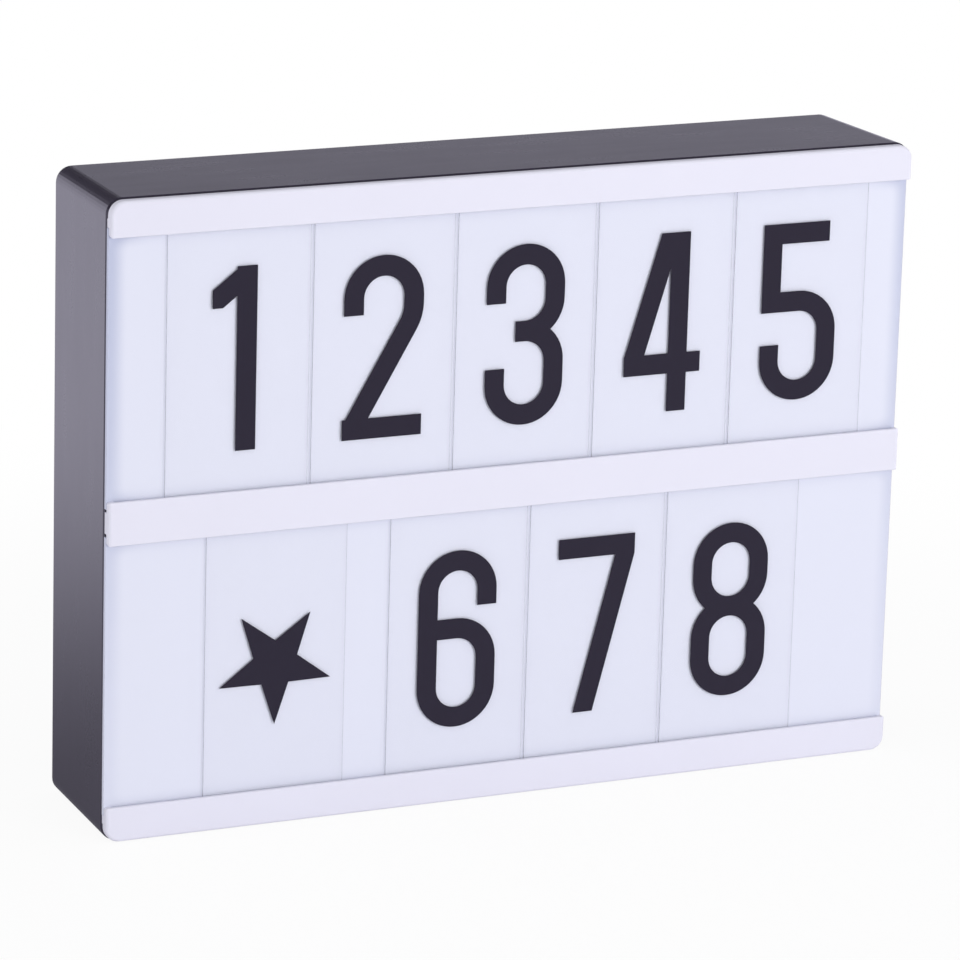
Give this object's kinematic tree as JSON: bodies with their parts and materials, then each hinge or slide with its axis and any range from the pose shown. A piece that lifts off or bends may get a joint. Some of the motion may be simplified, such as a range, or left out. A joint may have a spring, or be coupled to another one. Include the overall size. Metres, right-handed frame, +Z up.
{
  "type": "cinema light box",
  "caption": "Shallow lit message board: a black case with an opal front, grooved white rails and clear character cards that slide along them, run by cells behind a rear door.",
  "frame": {"origin": "middle of the box's footprint, on the surface that it stands on", "axes": "+X runs along the rows to the right as seen from the front, +Y runs from the front to the back, +Z is up"},
  "size_m": [0.22, 0.0428, 0.164],
  "materials": {
    "case_black": "fine moulded texture, low gloss",
    "rail_white": "smooth satin moulding",
    "opal_sheet": "smooth translucent sheet, unlit",
    "card_film": "clear smooth film over the opal sheet",
    "cell_sleeve": "shrunk printed sleeve without print",
    "contact_nickel": "nickel plated strip",
    "spring_wire": "nickel plated wire",
    "switch_steel": "pressed tin plated frame",
    "board_green": "solder resist",
    "led_lens": "phosphor under a clear lens",
    "resistor_body": "plain ceramic chip",
    "reflector_white": "matt white sheet",
    "screw_steel": "zinc plated",
    "lead_sleeve": "soft insulation"
  },
  "bodies": {
    "case": {"back_housing": "case_black", "front_frame": "case_black", "power_socket": "case_black", "board_parts": "case_black", "top_rail": "rail_white", "middle_rail": "rail_white", "bottom_rail": "rail_white", "diffuser_panel": "opal_sheet", "battery_cell_1": "cell_sleeve", "battery_cell_2": "cell_sleeve", "battery_cell_3": "cell_sleeve", "contact_negative": "contact_nickel", "contact_positive": "contact_nickel", "bridge_left": "contact_nickel", "bridge_right": "contact_nickel", "contact_springs": "spring_wire", "switch_body": "switch_steel", "control_board": "board_green", "led_board_top": "board_green", "led_board_bottom": "board_green", "leds_top": "led_lens", "leds_bottom": "led_lens", "led_resistors": "resistor_body", "reflector_sheet": "reflector_white", "case_screws": "screw_steel", "board_screws": "screw_steel", "battery_leads": "lead_sleeve", "led_leads": "lead_sleeve"},
    "card_top_1": {"card_top_1": "card_film"},
    "card_top_2": {"card_top_2": "card_film"},
    "card_top_3": {"card_top_3": "card_film"},
    "card_top_4": {"card_top_4": "card_film"},
    "card_top_5": {"card_top_5": "card_film"},
    "card_bottom_1": {"card_bottom_1": "card_film"},
    "card_bottom_2": {"card_bottom_2": "card_film"},
    "card_bottom_3": {"card_bottom_3": "card_film"},
    "card_bottom_4": {"card_bottom_4": "card_film"},
    "switch_knob": {"switch_knob": "case_black"},
    "battery_door": {"battery_door": "case_black"}
  },
  "joints": [
    {"name": "card_top_1_slide", "type": "slide", "parent": "case", "child": "card_top_1", "axis": [1, 0, 0], "range_m": [-0.0132, 0.01]},
    {"name": "card_top_2_slide", "type": "slide", "parent": "case", "child": "card_top_2", "axis": [1, 0, 0], "range_m": [-0.0132, 0.01]},
    {"name": "card_top_3_slide", "type": "slide", "parent": "case", "child": "card_top_3", "axis": [1, 0, 0], "range_m": [-0.0132, 0.01]},
    {"name": "card_top_4_slide", "type": "slide", "parent": "case", "child": "card_top_4", "axis": [1, 0, 0], "range_m": [-0.0132, 0.01]},
    {"name": "card_top_5_slide", "type": "slide", "parent": "case", "child": "card_top_5", "axis": [1, 0, 0], "range_m": [-0.0132, 0.01]},
    {"name": "card_bottom_1_slide", "type": "slide", "parent": "case", "child": "card_bottom_1", "axis": [1, 0, 0], "range_m": [-0.0244, 0.0058]},
    {"name": "card_bottom_2_slide", "type": "slide", "parent": "case", "child": "card_bottom_2", "axis": [1, 0, 0], "range_m": [-0.0058, 0.0265]},
    {"name": "card_bottom_3_slide", "type": "slide", "parent": "case", "child": "card_bottom_3", "axis": [1, 0, 0], "range_m": [-0.0058, 0.0265]},
    {"name": "card_bottom_4_slide", "type": "slide", "parent": "case", "child": "card_bottom_4", "axis": [1, 0, 0], "range_m": [-0.0058, 0.0265]},
    {"name": "switch_knob_slide", "type": "slide", "parent": "case", "child": "switch_knob", "axis": [1, 0, 0], "range_m": [0, 0.004]},
    {"name": "battery_door_hinge", "type": "hinge", "parent": "case", "child": "battery_door", "pos_m": [0, 0.02135, 0.0304], "axis": [-1, 0, 0], "range_deg": [0, 75]}
  ],
  "couplings": [
    {"joint": "card_top_2_slide", "follows": "card_top_1_slide", "ratio": 1},
    {"joint": "card_top_3_slide", "follows": "card_top_1_slide", "ratio": 1},
    {"joint": "card_top_4_slide", "follows": "card_top_1_slide", "ratio": 1},
    {"joint": "card_top_5_slide", "follows": "card_top_1_slide", "ratio": 1},
    {"joint": "card_bottom_3_slide", "follows": "card_bottom_2_slide", "ratio": 1},
    {"joint": "card_bottom_4_slide", "follows": "card_bottom_2_slide", "ratio": 1}
  ]
}
